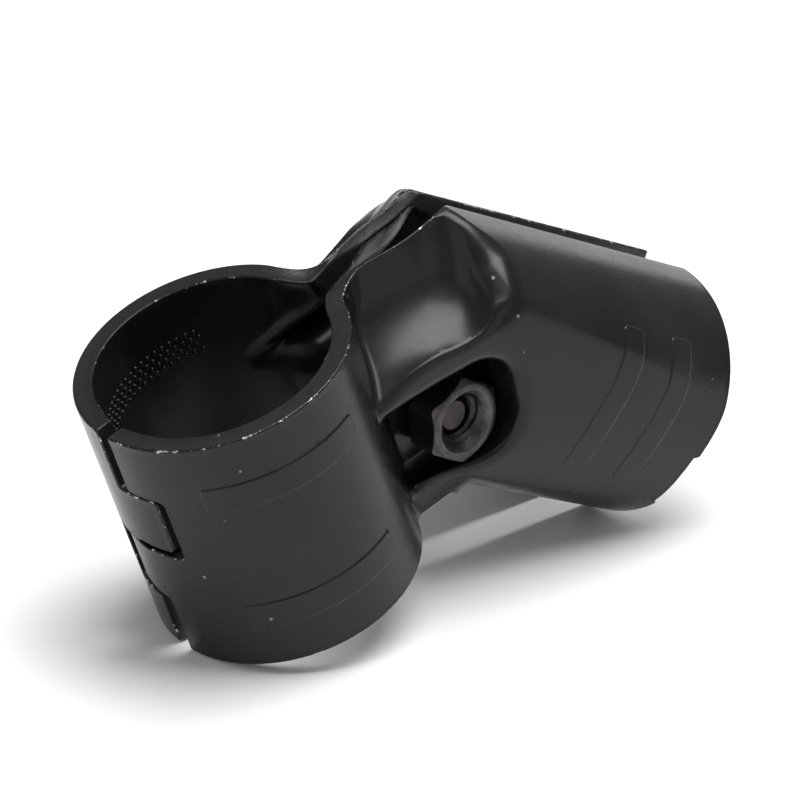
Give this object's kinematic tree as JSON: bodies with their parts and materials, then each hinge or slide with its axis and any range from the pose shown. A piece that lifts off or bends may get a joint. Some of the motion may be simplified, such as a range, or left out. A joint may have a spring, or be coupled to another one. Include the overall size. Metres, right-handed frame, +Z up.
{
  "type": "45 degree pipe joint",
  "caption": "Two-piece pressed steel pipe joint that clamps a through tube in a collar and the end of a second tube in an arm at 45 degrees, closed by a bolt and a nut.",
  "frame": {"origin": "centre of the outline on the floor that the joint rests on", "axes": "+Z up; +X from the collar to the arm, along the floor; the two halves part along the XZ plane, with the nut on the -Y side and the bolt head on the +Y side"},
  "size_m": [0.0882, 0.0378, 0.049],
  "materials": {
    "black_coated_steel": "semi-gloss black electrocoat",
    "black_oxide_steel": "black oxide",
    "plated_steel": "dull dark zinc plate"
  },
  "bodies": {
    "head_side": {"head_side_shell": "black_coated_steel"},
    "nut_side": {"nut_side_shell": "black_coated_steel"},
    "bolt": {"clamp_bolt": "black_oxide_steel"},
    "nut": {"hex_nut": "plated_steel"}
  },
  "joints": [
    {"name": "bolt_turn", "type": "hinge", "parent": "head_side", "child": "bolt", "pos_m": [0.0002, 0.00238, 0.02447], "axis": [0, 1, 0], "range_deg": [-936, 630]},
    {"name": "nut_travel", "type": "slide", "parent": "head_side", "child": "nut", "axis": [0, 1, 0], "range_m": [-0.0018, 0.00265]},
    {"name": "shell_swing", "type": "hinge", "parent": "head_side", "child": "nut_side", "pos_m": [-0.03841, 0.00238, 0.01606], "axis": [0.3323, 0, -0.9432], "range_deg": [-3.5, 2.35]}
  ],
  "couplings": [
    {"joint": "nut_travel", "follows": "shell_swing", "m_per_rad": -0.0425},
    {"joint": "bolt_turn", "follows": "shell_swing", "ratio": 267.04}
  ]
}
